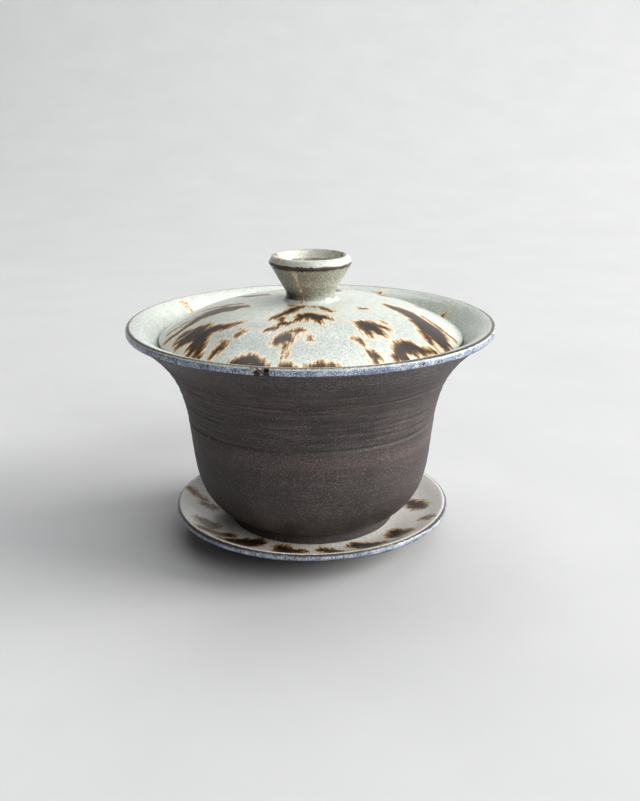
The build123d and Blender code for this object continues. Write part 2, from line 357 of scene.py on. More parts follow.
# Each stroke is a run of (radius, angle in degrees, half width); the front is at -90.
LID_STROKES = [
    [(18, -163, 0.8), (21, -166, 1.7), (25, -169, 2.1), (30, -168, 1.5), (35, -163, 0.8), (40, -160, 0.3)],
    [(28, -174, 0.3), (34, -171, 0.5), (39, -168, 0.2)],
    [(19, -177, 0.4), (26, -180, 0.5), (31, 178, 0.2)],
    [(30.5, -151, 0.8), (33, -151, 1.8), (36, -150, 1.9), (39, -149, 0.8)],
    [(35, -156, 0.8), (39, -154, 0.4)],
    [(25.5, -134, 0.4), (28, -138, 0.9), (31, -144, 1.5), (34, -145, 1.8), (37, -141, 1.2), (40, -139, 0.5)],
    [(34, -142, 0.9), (37.5, -137, 1.0), (39.8, -134, 0.3)],
    [(33.5, -129, 0.5), (35.5, -128, 0.9), (37.5, -128, 0.7), (39.2, -128, 0.2)],
    [(29, -125.5, 0.6), (30.5, -126, 0.5)],
    [(40, -118, 0.7), (38.6, -115, 1.2), (38.3, -111, 1.3), (40, -106, 0.7)],
    [(39.9, -115, 1.0), (39.8, -109, 1.0)],
    [(40, -100, 0.5), (39.4, -98, 0.8), (40, -95, 0.5)],
    [(40.2, -92, 0.4), (39.5, -88, 0.9), (39.5, -84, 0.8), (40.2, -80, 0.4)],
    [(9.3, -100, 0.4), (10.5, -107, 0.7), (13.7, -111, 1.0), (17, -114, 0.8), (19.8, -117, 0.6),
     (21.2, -118, 0.3)],
    [(19.5, -112, 0.6), (21, -110, 0.5)],
    [(9.3, -122, 0.25), (9.8, -106, 0.35)],
    [(20.2, -99, 0.6), (17.5, -96, 1.0), (16.6, -91, 1.2), (17.8, -86, 1.4), (18.6, -79, 1.0),
     (20, -75, 0.5)],
    [(19, -85, 0.8), (22.4, -83, 0.3)],
    [(18.5, -92, 0.7), (20.6, -92, 0.2)],
    [(9.4, -85, 0.3), (10.3, -74, 0.6), (13, -70, 0.6), (14.8, -68, 0.3)],
    [(23.4, -110, 0.3), (22.7, -106, 0.8), (22, -103, 0.4)],
    [(27, -114, 0.4), (26.2, -111, 0.7), (25, -109, 0.4)],
    [(27.1, -99, 0.3), (26, -96, 0.6), (26, -94, 0.3)],
    [(32.2, -106, 0.4), (30.6, -104, 1.0), (29.4, -101, 1.3), (30.8, -99, 0.7)],
    [(32, -100, 0.35), (36.4, -100, 0.2)],
    [(29.5, -90, 0.35), (30.7, -90, 0.3)],
    [(30.8, -69, 0.4), (32.4, -67, 0.4)],
    [(23.4, -60, 0.6), (25, -57.5, 1.5), (26.5, -55, 1.9), (28.4, -54, 1.0), (30.4, -53, 0.3)],
    [(27, -59, 1.0), (29.1, -60, 0.8), (30.7, -60, 0.3)],
    [(26.1, -61, 0.5), (27.9, -62, 0.3)],
    [(27, -51, 0.8), (29, -48, 0.3)],
    [(26.2, -44, 0.3), (26.8, -43.5, 0.2)],
    [(16.5, -35, 0.5), (17.2, -32, 0.4)],
    [(36.5, -66, 0.8), (37.7, -65, 0.9), (39, -66, 0.5)],
    [(38.9, -57, 0.9), (36.6, -51.5, 1.7), (36.4, -48, 1.8), (38.1, -45, 1.2), (39.4, -42, 0.8),
     (40.1, -38, 0.4)],
    [(20.5, -7, 0.6), (23, -11, 1.4), (26, -14.5, 1.8), (29, -18, 1.9), (32.5, -22, 2.6), (36, -26, 2.6),
     (39, -30, 1.7), (40.6, -32, 0.6)],
    [(33, -29, 0.9), (36, -33, 0.9), (38, -36, 0.3)],
    [(30, -10, 0.2), (34, -15, 0.45), (37.5, -18, 0.45), (40, -20, 0.2)],
    [(24, 32, 0.8), (28, 36, 1.9), (33, 38, 1.7), (37, 41, 0.6)],
    [(14, 58, 0.5), (17, 66, 1.3), (21, 70, 0.7)],
    [(31, 74, 0.9), (35, 79, 1.9), (38, 83, 0.9)],
    [(26, 88, 0.6), (27, 92, 0.4)],
    [(20, 112, 0.6), (25, 115, 1.5), (31, 114, 1.7), (36, 118, 0.5)],
    [(36, 132, 0.9), (38.5, 137, 0.9)],
    [(15, 146, 0.8), (19, 152, 1.3), (24, 150, 0.5)],
    [(33, 158, 1.0), (36, 163, 1.8), (39, 166, 0.9)],
    [(30, 12, 0.5), (32, 15, 0.5)],
    [(33, 60, 0.4), (35, 60, 0.5)],
]
SAUCER_STROKES = [
    [(36.6, 170, 0.3), (32.4, 173, 0.5)],
    [(31, 178, 0.9), (28.3, 180, 0.8)],
    [(32.6, -160, 1.2), (31.2, -156, 1.7), (31.8, -151, 1.2)],
    [(34.8, -146, 1.3), (32.2, -142, 1.5), (29.5, -140, 1.0)],
    # Drawn larger than its iron blot: the extra dark at the front left is painted shadow and painted
    # reflection of the dark bowl
    [(34.3, -132, 1.2), (32.2, -129, 2.2), (29.0, -126, 2.3), (26.0, -124, 1.5)],
    [(26.8, -107, 1.3), (30.2, -103, 2.1), (28.8, -97, 1.4)],
    [(27.0, -84, 0.9), (29.2, -80, 1.3), (30.2, -77, 0.6)],
    [(27.2, -64, 1.4), (30.4, -60, 1.9), (31.2, -55, 1.2)],
    [(28.6, -36, 1.3), (30.6, -39, 2.1), (32.1, -36, 1.2)],
    [(28.8, 5, 0.9), (30.4, 0, 1.5), (31.8, -4, 0.8)],
    [(33.3, -20, 0.4), (35.5, -22, 0.5)],
    [(28, 34, 1.1), (31, 38, 1.9), (33, 41, 0.9)],
    [(30, 66, 1.4), (32.5, 70, 1.1)],
    [(27, 94, 1.2), (30, 97, 1.9), (33.5, 98, 0.9)],
    [(29, 124, 1.0), (31, 129, 1.7), (31, 134, 1.1)],
    [(34, 152, 1.0), (35.5, 154, 0.8)],
    [(12, -58, 1.1), (14, -50, 1.8), (16.5, -48, 0.9)],
    [(13, 102, 1.1), (16, 110, 1.5)],
]
BOWL_STROKES = [
    [(46.6, 146, 0.5), (44.6, 146, 0.35), (42.9, 145, 0.1)],
    [(46.0, 62, 0.5), (44.0, 63, 0.3), (41.5, 62, 0.1)],
    [(43.0, 25, 0.5), (40.0, 27, 1.3), (37.0, 27, 0.9)],
    [(38.0, -150, 0.8), (35.0, -148, 1.6), (33.0, -149, 0.7)],
    [(40.0, -70, 0.5), (37.0, -69, 1.3), (34.5, -70, 0.7)],
    [(35.0, 100, 0.7), (33.0, 101, 1.3), (31.9, 101, 0.8)],
    [(19, -20, 0.9), (22, -10, 1.4), (23, 5, 0.7)],
    [(10, 130, 0.7), (14, 140, 1.3), (15, 155, 0.7)],
    [(22, -120, 1.1), (24, -112, 0.7)],
]
KNOB_WELL_STROKES = [
    [(6.5, 128, 0.5), (4.5, 122, 1.0), (2.5, 100, 0.5)],
    [(9.3, 172, 0.35), (9.5, 178, 0.45)],
    [(9.2, -150, 0.3), (9.4, -146, 0.35)],
    [(8.9, 15, 0.05), (9.3, 20, 0.05)],
]
# On the rim bands: (angle in degrees, half width in degrees, strength)
RIM_SPOTS = [(-104.0, 1.4, 0.9), (-101.0, 1.1, 1.1), (-73.5, 1.5, 0.55), (-57, 1.6, 0.55), (-20, 2.0, 0.5),
             (30, 1.5, 0.9), (71, 1.2, 0.7), (118, 1.6, 1.0), (124, 1.0, 0.6), (-170, 3.0, 0.5)]
SAUCER_RIM_SPOTS = [(-95, 1.5, 0.6), (-40, 1.2, 0.6), (15, 1.6, 0.9), (95, 1.5, 0.9), (160, 1.8, 0.8)]
# Down the knob's neck: (angle in degrees, height above the knob's seat, half width)
KNOB_DRIPS = [
    [(-113, 9.2, 0.02), (-112, 6.5, 0.05), (-109, 3.6, 0.05)],
    [(-109, 1.9, 0.3), (-108, 0.9, 0.2)],
    [(74, 9.0, 0.2), (77, 5.0, 0.1)],
    [(170, 8.6, 0.15), (171, 6.6, 0.05)],
]


# ---------------------------------------------------------------- materials

# Paint-chart colours, red, green and blue from 0 to 255; tones are stops along a ramp.
GLAZE_TONES = [(0.34, (203, 210, 199)), (0.5, (221, 225, 215)), (0.66, (236, 235, 226))]
IRON_TONES = [
    (0.24, (243, 240, 230)), (0.36, (236, 224, 198)), (0.45, (206, 174, 130)), (0.54, (150, 116, 76)),
    (0.64, (96, 72, 48)), (0.78, (66, 52, 42)), (0.95, (57, 49, 45)),
]
RUTILE_TONES = [
    (0.38, (40, 40, 50)), (0.46, (80, 90, 118)), (0.52, (112, 129, 158)), (0.58, (178, 191, 204)),
    (0.66, (226, 228, 222)),
]
SPOT_TONES = [(0.45, (150, 104, 56)), (0.75, (52, 36, 26))]
THIN_AND_SHADE_TONES = [(0.35, (128, 96, 70)), (0.7, (70, 50, 42)), (1.0, (52, 38, 34))]
MILK_WHITE, SPECKLE_GREY, SMOKE_AND_SHADE_BROWN = (253, 250, 242), (136, 152, 154), (126, 120, 98)
PINHOLE_BROWN = (128, 108, 84)
CLAY_TONES = [(0.36, (40, 37, 37)), (0.5, (71, 64, 63)), (0.64, (114, 103, 101))]
LIGHT_GROG, DARK_PIT, OVERSPRAY = (150, 139, 132), (30, 24, 24), (136, 134, 136)
# colour of the painted light on the bowl's lower wall
PAINTED_LIGHT_CLAY = (128, 110, 105)
PAPER_TONES = [(0.3, (212, 212, 212)), (0.7, (216, 216, 216))]
BLACK = (0, 0, 0)

# Noises: (scale, octaves, roughness of the octaves). The scale is in waves in a millimetre, except
# for the feather, bands and scratches, which lie on a drawn-out place.
GLAZE_CLOUD, GLAZE_MOTTLE, GLAZE_GRAIN = (0.11, 3.0, 0.55), (0.55, 4.0, 0.6), (3.4, 2.0, 0.6)
IRON_FEATHER, IRON_FINE, IRON_BLOTS = (1.5, 3.0, 0.6), (2.2, 3.0, 0.6), (0.7, 2.0, 0.5)
RUTILE_DUST, RUTILE_DRIFT, GLAZE_PEEL = (4.0, 2.0, 0.8), (0.45, 2.0, 0.5), (0.7, 2.0, 0.5)
CLAY_CLOUD, CLAY_GRAIN, CLAY_SPRAY = (0.10, 3.0, 0.55), (3.6, 3.0, 0.75), (1.9, 2.0, 0.8)
CLAY_BANDS, CLAY_SCRATCHES = (0.5, 4.0, 0.65), (0.6, 3.0, 0.6)
PAPER_FIBRE = (0.02, 4.0, 0.6)
# Scattered cells: how many fit in a millimetre
PINHOLES, GROG, PITS = 1.5, 2.4, 0.9
# Drawn-out noise: how fine it is about the axis, along the radius and along the height
IRON_STREAKS, TURNING, FINE_TURNING = (30.0, 0.22, 0.22), (5.0, 0.0, 3.4), (9.0, 0.0, 6.0)
# Roughness of bare glaze and of iron, what the rim bands add to it, and the clay's least and most
GLAZE_ROUGH, BAND_ROUGH, CLAY_ROUGH = (0.13, 0.24), 0.12, (0.50, 0.64)
# Bumps: (height in metres, strength)
DUST_BUMP, PEEL_BUMP, CLAY_BUMP = (0.00003, 0.25), (0.00012, 0.35), (0.00010, 0.55)


def colour(red, green, blue):
    """Scene colour of a paint-chart value given as 0 to 255."""
    values = [((c / 255 + 0.055) / 1.055) ** 2.4 if c > 10 else c / 3294.6 for c in (red, green, blue)]
    return (*values, 1)


class Shader:
    """A material's node tree, with short calls for the nodes used here."""

    MIX_A, MIX_B, MIX_RESULT = 6, 7, 2        # colour sockets of a Mix node

    def __init__(self, name, roughness=0.5):
        self.material = bpy.data.materials.new(name)
        self.material.use_nodes = True
        self.nodes = self.material.node_tree.nodes
        self.links = self.material.node_tree.links
        self.surface = self.nodes["Principled BSDF"]
        self.surface.inputs["Roughness"].default_value = roughness

    def put(self, socket, value):
        """Sets a socket to a value or links another socket to it."""
        if isinstance(value, bpy.types.NodeSocket):
            self.links.new(value, socket)
        else:
            socket.default_value = value

    def node(self, kind, values=(), **settings):
        """Adds a node of a kind, with its settings and the values of its inputs."""
        made = self.nodes.new("ShaderNode" + kind)
        for name, value in settings.items():
            setattr(made, name, value)
        for key, value in dict(values).items():
            self.put(made.inputs[key], value)
        return made

    def math(self, operation, *values):
        """Result of one operation on numbers."""
        return self.node("Math", enumerate(values), operation=operation).outputs[0]

    def vector(self, operation, *values, output=0):
        """Result of one operation on vectors; a length comes from output 1."""
        return self.node("VectorMath", enumerate(values), operation=operation).outputs[output]

    def mark(self, name):
        """One of the numbers kept at each vertex; 0 on a piece that has none by that name."""
        return self.node("Attribute", attribute_name=name).outputs["Fac"]

    def noise(self, place, scale, detail, rough):
        """Smooth noise from 0 to 1 at a place."""
        values = {"Vector": place, "Scale": scale, "Detail": detail, "Roughness": rough}
        return self.node("TexNoise", values).outputs["Fac"]

    def cells(self, place, scale):
        """Distance to the middle of scattered cells, and each cell's own random colour."""
        made = self.node("TexVoronoi", {"Vector": place, "Scale": scale})
        return made.outputs["Distance"], made.outputs["Color"]

    def step(self, value, low, high, out_low=0.0, out_high=1.0):
        """Smooth step of a value from out_low at low to out_high at high."""
        made = self.node("MapRange", {0: value, 1: low, 2: high, 3: out_low, 4: out_high},
                         interpolation_type="SMOOTHSTEP")
        return made.outputs[0]

    def ramp(self, value, stops):
        """Colour ramp through (place, paint-chart colour) stops."""
        made = self.node("ValToRGB", {0: value})
        elements = made.color_ramp.elements
        while len(elements) < len(stops):
            elements.new(0.5)
        for element, (place, chart) in zip(elements, stops):
            element.position = place
            element.color = colour(*chart)
        return made.outputs["Color"]

    def mix(self, share, a, b):
        """Colour a with the given share of colour b laid over it."""
        made = self.node("Mix", data_type="RGBA")
        self.put(made.inputs[0], share)
        for key, value in ((self.MIX_A, a), (self.MIX_B, b)):
            self.put(made.inputs[key], colour(*value) if isinstance(value, tuple) else value)
        return made.outputs[self.MIX_RESULT]

    def millimetres(self):
        """Each point's place in the object's own frame, in millimetres."""
        place = self.node("TexCoord").outputs["Object"]
        return self.vector("MULTIPLY", place, (1000, 1000, 1000))

    def streaked(self, place, about, along_radius, along_height):
        """Noise place that follows the turning: fine about the axis, drawn out along the other ways."""
        parts = self.node("SeparateXYZ", {0: place})
        flat = self.node("CombineXYZ", {0: parts.outputs[0], 1: parts.outputs[1]}).outputs[0]
        unit = self.vector("MULTIPLY", self.vector("NORMALIZE", flat), (about, about, 0))
        reach = self.math("MULTIPLY", self.vector("LENGTH", flat, output=1), along_radius)
        rise = self.math("MULTIPLY_ADD", parts.outputs[2], along_height, reach)
        lift = self.node("CombineXYZ", {2: rise}).outputs[0]
        return self.vector("ADD", unit, lift)

    def bump(self, height, distance, strength, under=None):
        """Normal of a surface raised by a height, laid over another such normal if there is one."""
        made = self.node("Bump", {"Height": height, "Strength": strength, "Distance": distance})
        if under is not None:
            self.links.new(under, made.inputs["Normal"])
        return made.outputs["Normal"]


def make_glaze():
    """Pale celadon glaze: mottled and misted, with iron strokes, thin edges and a blue rim band, and painted
    shade on the knob and painted light on the saucer.
    """
    s = Shader("celadon_glaze_detail")
    place = s.millimetres()
    streaks = s.streaked(place, *IRON_STREAKS)

    cloud = s.noise(place, *GLAZE_CLOUD)
    mottle = s.noise(place, *GLAZE_MOTTLE)
    grain = s.noise(place, *GLAZE_GRAIN)
    tone = s.math("MULTIPLY_ADD", mottle, 0.55, s.math("MULTIPLY", cloud, 0.45))
    base = s.ramp(tone, GLAZE_TONES)
    # whiter glaze where marked; on the saucer this whitening is painted light
    base = s.mix(s.mark("pale"), base, MILK_WHITE)
    mist = s.math("MULTIPLY_ADD", s.mark("mist"), 0.55, s.math("MULTIPLY", cloud, 0.5))
    speckle = s.step(s.math("ADD", grain, s.math("MULTIPLY", mist, 0.26)), 0.58, 0.76, 0.0, 0.7)
    base = s.mix(speckle, base, SPECKLE_GREY)
    # smoky glaze, which on the knob's flank is partly painted shade
    smoke_and_shade = s.math("MULTIPLY", s.mark("smoky_and_shade"), s.step(grain, 0.38, 0.60, 0.55, 1.0))
    base = s.mix(smoke_and_shade, base, SMOKE_AND_SHADE_BROWN)
    pins, pin_colour = s.cells(place, PINHOLES)
    pin_rare = s.node("SeparateColor", {0: pin_colour}).outputs[0]
    pin_dots = s.step(pins, 0.10, 0.20, 1.0, 0.0)
    pinhole = s.math("MULTIPLY", pin_dots, s.step(pin_rare, 0.86, 0.93, 0.0, 0.7))
    base = s.mix(pinhole, base, PINHOLE_BROWN)

    feather = s.noise(streaks, *IRON_FEATHER)
    fine = s.noise(place, *IRON_FINE)
    blots = s.noise(place, *IRON_BLOTS)
    ragged = s.math("MULTIPLY_ADD", feather, 2.0, s.math("MULTIPLY_ADD", fine, 1.3, -2.25))
    ragged = s.math("MULTIPLY_ADD", blots, 1.2, ragged)
    depth = s.math("ADD", s.mark("iron"), ragged)
    scaled = s.math("MULTIPLY_ADD", depth, 0.29, 0.51)
    cooled = s.math("MULTIPLY_ADD", s.math("ADD", feather, s.math("MULTIPLY", grain, 0.6)), 0.34, -0.27)
    hue = s.math("ADD", scaled, cooled)
    iron = s.ramp(hue, IRON_TONES)
    base = s.mix(s.step(scaled, 0.22, 0.40), base, iron)

    dust = s.noise(place, *RUTILE_DUST)
    drift = s.noise(place, *RUTILE_DRIFT)
    rutile = s.ramp(s.math("MULTIPLY_ADD", drift, 0.22, s.math("MULTIPLY", dust, 0.86)), RUTILE_TONES)
    band = s.math("ADD", s.mark("band"), s.math("MULTIPLY_ADD", dust, 0.8, -0.4))
    base = s.mix(s.step(band, 0.35, 0.65), base, rutile)
    spotted = s.math("ADD", s.mark("band_spots"), s.math("MULTIPLY_ADD", blots, 1.6, -0.8))
    frayed = s.math("ADD", spotted, s.math("MULTIPLY_ADD", fine, 1.4, -0.7))
    base = s.mix(s.step(frayed, 0.45, 0.75), base, s.ramp(spotted, SPOT_TONES))
    # thin glaze at edges; on the knob this also lays painted shade
    thin_and_shade = s.math("ADD", s.mark("thin_glaze_and_shade"), s.math("MULTIPLY_ADD", fine, 0.9, -0.45))
    base = s.mix(s.step(thin_and_shade, 0.30, 0.75, 0.0, 0.92), base, s.ramp(thin_and_shade, THIN_AND_SHADE_TONES))
    s.put(s.surface.inputs["Base Color"], base)

    rough = s.step(scaled, 0.45, 0.7, *GLAZE_ROUGH)
    rough = s.math("ADD", rough, s.math("MULTIPLY", s.mark("band"), BAND_ROUGH))
    s.put(s.surface.inputs["Roughness"], rough)
    peel = s.noise(place, *GLAZE_PEEL)
    s.put(s.surface.inputs["Normal"], s.bump(dust, *DUST_BUMP, under=s.bump(peel, *PEEL_BUMP)))
    return s.material


def make_clay():
    """Bare dark stoneware: fine light and dark grog, pits, turning marks, overspray below the rim and a ring
    of painted light on the bowl's wall.
    """
    s = Shader("bare_stoneware_detail")
    place = s.millimetres()
    turning = s.streaked(place, *TURNING)
    fine_turning = s.streaked(place, *FINE_TURNING)

    cloud = s.noise(place, *CLAY_CLOUD)
    bands = s.noise(turning, *CLAY_BANDS)
    scratches = s.noise(fine_turning, *CLAY_SCRATCHES)
    grain = s.noise(place, *CLAY_GRAIN)
    tone = s.math("MULTIPLY_ADD", cloud, 0.18, s.math("MULTIPLY", grain, 0.68))
    tone = s.math("MULTIPLY_ADD", bands, 0.14, tone)
    lines = s.math("MULTIPLY", s.mark("ringed"), s.math("MULTIPLY_ADD", bands, 0.18, -0.09))
    tone = s.math("ADD", tone, lines)
    base = s.ramp(tone, CLAY_TONES)
    grog, grog_colour = s.cells(place, GROG)
    light_rare = s.node("SeparateColor", {0: grog_colour}).outputs[0]
    light_dots = s.step(grog, 0.22, 0.42, 1.0, 0.0)
    light = s.math("MULTIPLY", light_dots, s.step(light_rare, 0.74, 0.97, 0.0, 0.65))
    base = s.mix(light, base, LIGHT_GROG)
    # painted light: a paler brownish ring on the bowl's wall, strongest towards the lamps
    base = s.mix(s.math("MULTIPLY", s.mark("painted_light_ring"), s.step(grain, 0.35, 0.65)), base, PAINTED_LIGHT_CLAY)
    pits, pit_colour = s.cells(place, PITS)
    pit_rare = s.node("SeparateColor", {0: pit_colour}).outputs[1]
    pit_dots = s.step(pits, 0.10, 0.22, 1.0, 0.0)
    pit = s.math("MULTIPLY", pit_dots, s.step(pit_rare, 0.80, 0.88))
    base = s.mix(s.math("MULTIPLY", pit, 0.8), base, DARK_PIT)
    spray = s.math("MULTIPLY", s.mark("spray"), s.step(s.noise(place, *CLAY_SPRAY), 0.50, 0.60))
    base = s.mix(spray, base, OVERSPRAY)
    s.put(s.surface.inputs["Base Color"], base)
    s.put(s.surface.inputs["Roughness"], s.step(cloud, 0.3, 0.7, *CLAY_ROUGH))
    height = s.math("MULTIPLY_ADD", grain, 0.9, s.math("MULTIPLY", scratches, 0.35))
    height = s.math("SUBTRACT", height, s.math("MULTIPLY", pit, 1.6))
    s.put(s.surface.inputs["Normal"], s.bump(height, *CLAY_BUMP))
    return s.material


glaze, clay = make_glaze(), make_clay()


def finish_piece(piece, material, body, slot, *nodes):
    """Gives a piece its material and body, and hides the CAD nodes that it stands for. The slot is not used.
    """
    piece.data.materials.append(material)
    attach(piece, body)
    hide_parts(*nodes)


def near(radius, height, centre, size):
    """1 on a ring of the surface, fading out over the given distance in millimetres."""
    return np.exp(-((radius - centre[0]) ** 2 + (height - centre[1]) ** 2) / size ** 2)


def fade(value, low, high):
    """Smooth step of a value from 0 at low to 1 at high."""
    t = np.clip((value - low) / (high - low), 0, 1)
    return t * t * (3 - 2 * t)


def rim_spots(angle, spots):
    """Iron spots on a rim band, given as (angle in degrees, half width in degrees, strength)."""
    total = np.zeros_like(angle)
    for centre, width, strength in spots:
        apart = (np.degrees(angle) - centre + 180) % 360 - 180
        total += strength * np.exp(-(apart / width) ** 2)
    return total


WAVER, WAVER_REACH = 0.16, 1.1        # half height of a glaze line's waves, and how far up they reach
RIM_WALL = 0.3                        # points this close to a rim's largest radius are on its edge


def glaze_line(rim_radius, line_height, seed):
    """Displacement that lets the lower edge of a rim band waver, always upwards."""
    def displace(radius, height, angle):
        rise = WAVER * (1 + wander(angle, (3, 5, 8, 13, 21, 34), seed)).clip(0, 2)
        share = np.clip(1 - (height - line_height) / WAVER_REACH, 0, 1) * (radius > rim_radius - RIM_WALL)
        return radius, height + rise * share
    return displace


# ---------------------------------------------------------------- saucer

SAUCER_EDGE, EDGE_WIDTH = (38.4, 9.95), 0.55    # (radius, height) of the thin line on the rim, and its width
SAUCER_BAND_R, SAUCER_BAND_Z = (38.3, 38.65), (9.95, 9.5)         # the blue band fades in over these
SAUCER_SPOTS_R = (38.3, 38.6)         # and its spots over this

saucer_clay = turned("saucer_clay", joined(saucer_under, thinned(saucer_skin, UNDER_SAUCER_GLAZE)))
finish_piece(saucer_clay, clay, "saucer", "bare_stoneware", "saucer_body")

saucer_coat = turned("saucer_coat", shell(coated(saucer_skin), saucer_skin),
                     glaze_line(SAUCER_RIM_R, SAUCER_RIM_UNDER, 11))
radius, height, angle = places(saucer_coat)
iron = iron_on_plan(radius, angle, SAUCER_STROKES, longest=1.6, seed=5)
mark(saucer_coat, "iron", 0.30 + np.where(iron < 0, 1.0, 0.6) * iron)
# The saucer's glaze is whitened all over: painted light and painted reflection of the bright room, for the
# light that the bowl's overhang keeps from it
mark(saucer_coat, "pale", np.full(len(radius), 1.0))
mark(saucer_coat, "mist", 0.3 * wander(angle, (1, 2, 3), seed=6))
edge_line = near(radius, height, SAUCER_EDGE, EDGE_WIDTH)
mark(saucer_coat, "thin_glaze_and_shade", edge_line * (1 + 0.2 * wander(angle, (1, 3, 7), seed=18)))
mark(saucer_coat, "band", fade(radius, *SAUCER_BAND_R) * fade(height, *SAUCER_BAND_Z))
mark(saucer_coat, "band_spots", rim_spots(angle, SAUCER_RIM_SPOTS) * fade(radius, *SAUCER_SPOTS_R))
finish_piece(saucer_coat, glaze, "saucer", "celadon_glaze", "saucer_glaze")

# ---------------------------------------------------------------- bowl

# Heights above the floor; a pair is the two heights between which a mark fades in or out
WALL_FOOT = BOWL_Z + 3.2              # where the outer wall rises from the foot
FULL_CUT = WALL_FOOT + 4.8            # rings and grooves have their whole depth from here
CUT_END = (58.6, 59.8)                # and end just below the glaze line
WALL_SKIN = 0.08                      # points this close to the outer wall belong to it
RINGED_FROM, RINGED_TO = (35.5, 38.0), (54.5, 58.0)      # the turned rings fade in and out
FAINT_DEPTH, FAINT_PITCH = 0.02, 3.4  # faint rings on the rest of the wall
RING_DEPTHS = (0.10, 0.20, 0.14)
RING_PITCHES = (2.7, 1.13, 1.61)
GROOVES = [(36.2, 0.36, 0.45), (38.9, 0.16, 0.26), (41.6, 0.22, 0.34), (45.9, 0.18, 0.30),
           (48.6, 0.16, 0.26), (50.9, 0.12, 0.24)]       # (height, depth, half width)
SPRAY = (51.0, 58.0)                  # stray glaze below the lip grows denser upwards
LIGHT_RING_HEIGHT, LIGHT_RING_WIDTH, LIGHT_RING_SWAY = 32.4, 1.9, 0.5      # a paler ring round the wall: painted light, strongest on the front right, towards the lamps
LINED_FROM, LINED_TO = (35.0, 38.0), (51.0, 55.0)        # the clay's colour is lined between these
LIP_EDGE = (49.3, 62.15)              # (radius, height) of the thin line on the lip
LIP_BAND_R, LIP_BAND_Z = (49.35, 49.7), (62.1, 61.5)     # the blue band fades in over these
LIP_SPOTS_R = (49.3, 49.6)            # and its spots over this


def thrown_wall(radius, height, angle):
    """Turning marks on the bare outside of the bowl; they only cut into the wall."""
    surface = np.interp(height, bowl_under[:, 1], bowl_under[:, 0])
    outside = (np.abs(radius - surface) < WALL_SKIN) & (height > WALL_FOOT)
    drift = wander(angle, (1, 2, 3), seed=21)
    drift_two = wander(angle, (1, 3, 4), seed=22)
    ringed = fade(height, *RINGED_FROM) * (1 - fade(height, *RINGED_TO))
    phases = [TURN * height / pitch for pitch in RING_PITCHES]
    wide_rings = (0.5 + 0.5 * np.cos(phases[0] + 0.9 * drift)) * (0.75 + 0.25 * drift_two)
    fine_rings = (0.5 + 0.5 * np.cos(phases[1] + 1.6 * drift_two)) * (0.7 + 0.3 * drift)
    odd_rings = (0.5 + 0.5 * np.cos(phases[2] + 1.1 * drift)) * (0.7 - 0.3 * drift)
    rings = (wide_rings, fine_rings ** 2, odd_rings ** 2)
    cut = ringed * sum(depth * ring for depth, ring in zip(RING_DEPTHS, rings))
    for level, depth, width in GROOVES:
        cut = cut + depth * np.exp(-((height - level - 0.18 * drift) / width) ** 2)
    cut = cut + FAINT_DEPTH * (1 - ringed) * (1 + np.cos(TURN * height / FAINT_PITCH + 1.2 * drift_two))
    settle = fade(height, WALL_FOOT, FULL_CUT) * (1 - fade(height, *CUT_END))
    return radius - cut * outside * settle, height


bowl_clay = turned("bowl_clay", joined(bowl_under, thinned(bowl_skin, UNDER_GLAZE)), thrown_wall)
radius, height, angle = places(bowl_clay)
spray = fade(height, *SPRAY) * (0.8 + 0.35 * wander(angle, (2, 3, 5, 7), seed=31))
mark(bowl_clay, "spray", np.clip(spray, 0, 1))
# Painted light: a paler ring on the wall, strongest on the front right, towards the lamps
painted_light_ring = np.exp(-((height - LIGHT_RING_HEIGHT - LIGHT_RING_SWAY * np.sin(3 * angle)) / LIGHT_RING_WIDTH) ** 2)
mark(bowl_clay, "painted_light_ring", painted_light_ring * (0.30 + 0.25 * np.cos(angle + 0.8)))
mark(bowl_clay, "ringed", fade(height, *LINED_FROM) * (1 - fade(height, *LINED_TO)))
finish_piece(bowl_clay, clay, "bowl", "bare_stoneware", "bowl_body")

bowl_coat = turned("bowl_coat", shell(coated(bowl_skin), bowl_skin),
                   glaze_line(BOWL_LIP_R, BOWL_Z + BOWL_LIP_UNDER, 12))
radius, height, angle = places(bowl_coat)
iron = iron_on_plan(radius, angle, BOWL_STROKES, longest=1.6, seed=8, outward=-1)
mark(bowl_coat, "iron", 0.7 * iron - 0.25)
mark(bowl_coat, "mist", 0.4 + 0.4 * wander(angle, (1, 2, 4), seed=9))
lip_line = near(radius, height, LIP_EDGE, EDGE_WIDTH)
mark(bowl_coat, "thin_glaze_and_shade", lip_line * (0.95 + 0.3 * wander(angle, (1, 3, 7), seed=13)))
patchy = 0.86 + 0.22 * wander(angle, (1, 2, 5, 9), seed=23)
patchy = patchy - 0.35 * fade(-np.cos(angle + 0.15), 0.75, 1.0)
mark(bowl_coat, "band", fade(radius, *LIP_BAND_R) * fade(height, *LIP_BAND_Z) * patchy)
mark(bowl_coat, "band_spots", rim_spots(angle, RIM_SPOTS) * fade(radius, *LIP_SPOTS_R))
finish_piece(bowl_coat, glaze, "bowl", "celadon_glaze", "bowl_glaze")

# ---------------------------------------------------------------- lid and knob

lid_outline = joined(lid_under, thinned(lid_skin, UNDER_GLAZE), [(0, LID_Z + LID_TOP)])
lid_clay = turned("lid_clay", lid_outline)
finish_piece(lid_clay, clay, "lid", "bare_stoneware", "lid_body")

KNOB_FOOT_R = 9.4                     # the coat is split here between the lid and the knob
NECK_LOW, FLANK_LOW, FLANK_TOP = 0.8, 1.2, 10.3          # heights above the knob's seat
WELL_LOW, WELL_R, FLANK_R = 4.9, 9.0, 6.2
DRIP_R = 8.0                          # radius at which an angle on the flank counts as a length
MIST_R, MIST_WIDTH = 31, 8            # the lid's misty ring
